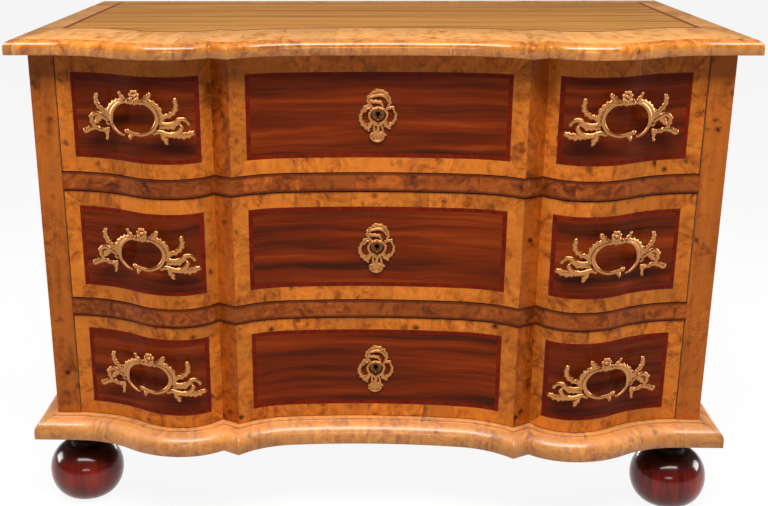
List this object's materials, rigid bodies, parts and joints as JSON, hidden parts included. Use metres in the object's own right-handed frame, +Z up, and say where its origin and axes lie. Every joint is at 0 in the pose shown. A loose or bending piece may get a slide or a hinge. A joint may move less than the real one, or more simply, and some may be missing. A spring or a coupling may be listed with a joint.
{
  "type": "chest of drawers",
  "caption": "Serpentine-front chest of drawers with veneered fronts, leaf-scroll brass pulls, keyhole plates with locks, moulded top and base, and turned bun feet.",
  "frame": {"origin": "on the floor, in the middle of the chest's bounding box", "axes": "+Z up, +X to the right of someone facing the drawers, -Y the side the drawers open on"},
  "size_m": [1.192, 0.721, 0.827],
  "materials": {
    "top_veneer": "gloss lacquer",
    "moulding_veneer": "gloss lacquer",
    "side_veneer": "gloss lacquer",
    "post_veneer": "gloss lacquer",
    "rail_veneer": "gloss lacquer",
    "drawer_veneer": "gloss lacquer",
    "turned_feet": "gloss lacquer",
    "oak": "waxed",
    "pine": "bare",
    "gilt_brass": "cast and gilt",
    "brass_bolts": "turned",
    "iron": "forged, dark"
  },
  "bodies": {
    "carcass": {"top_board": "top_veneer", "top_moulding_front": "moulding_veneer", "top_moulding_left": "moulding_veneer", "top_moulding_right": "moulding_veneer", "side_panel_left": "side_veneer", "side_panel_right": "side_veneer", "post_left": "post_veneer", "post_right": "post_veneer", "back_panel": "pine", "rail_upper": "rail_veneer", "rail_lower": "rail_veneer", "top_rail": "pine", "dust_boards": "pine", "drawer_runners": "pine", "drawer_stops": "pine", "bottom_board": "pine", "base_moulding_front": "moulding_veneer", "base_moulding_left": "moulding_veneer", "base_moulding_right": "moulding_veneer", "foot_front_left": "turned_feet", "foot_front_right": "turned_feet", "foot_back_left": "turned_feet", "foot_back_right": "turned_feet", "foot_blocks": "pine"},
    "lower_drawer": {"lower_drawer_front": "drawer_veneer", "lower_drawer_side_left": "oak", "lower_drawer_side_right": "oak", "lower_drawer_back": "oak", "lower_drawer_bottom": "pine", "lower_drawer_pull_left": "gilt_brass", "lower_drawer_pull_right": "gilt_brass", "lower_drawer_pull_bolts": "brass_bolts", "lower_drawer_escutcheon": "gilt_brass", "lower_drawer_lock_case": "iron"},
    "lower_lock_bolt": {"lower_drawer_lock_bolt": "iron"},
    "middle_drawer": {"middle_drawer_front": "drawer_veneer", "middle_drawer_side_left": "oak", "middle_drawer_side_right": "oak", "middle_drawer_back": "oak", "middle_drawer_bottom": "pine", "middle_drawer_pull_left": "gilt_brass", "middle_drawer_pull_right": "gilt_brass", "middle_drawer_pull_bolts": "brass_bolts", "middle_drawer_escutcheon": "gilt_brass", "middle_drawer_lock_case": "iron"},
    "middle_lock_bolt": {"middle_drawer_lock_bolt": "iron"},
    "upper_drawer": {"upper_drawer_front": "drawer_veneer", "upper_drawer_side_left": "oak", "upper_drawer_side_right": "oak", "upper_drawer_back": "oak", "upper_drawer_bottom": "pine", "upper_drawer_pull_left": "gilt_brass", "upper_drawer_pull_right": "gilt_brass", "upper_drawer_pull_bolts": "brass_bolts", "upper_drawer_escutcheon": "gilt_brass", "upper_drawer_lock_case": "iron"},
    "upper_lock_bolt": {"upper_drawer_lock_bolt": "iron"}
  },
  "joints": [
    {"name": "lower_drawer_slide", "type": "slide", "parent": "carcass", "child": "lower_drawer", "axis": [0, -1, 0], "range_m": [0, 0.4]},
    {"name": "lower_lock_bolt_slide", "type": "slide", "parent": "lower_drawer", "child": "lower_lock_bolt", "axis": [0, 0, 1], "range_m": [0, 0.01]},
    {"name": "middle_drawer_slide", "type": "slide", "parent": "carcass", "child": "middle_drawer", "axis": [0, -1, 0], "range_m": [0, 0.4]},
    {"name": "middle_lock_bolt_slide", "type": "slide", "parent": "middle_drawer", "child": "middle_lock_bolt", "axis": [0, 0, 1], "range_m": [0, 0.01]},
    {"name": "upper_drawer_slide", "type": "slide", "parent": "carcass", "child": "upper_drawer", "axis": [0, -1, 0], "range_m": [0, 0.4]},
    {"name": "upper_lock_bolt_slide", "type": "slide", "parent": "upper_drawer", "child": "upper_lock_bolt", "axis": [0, 0, 1], "range_m": [0, 0.01]}
  ]
}
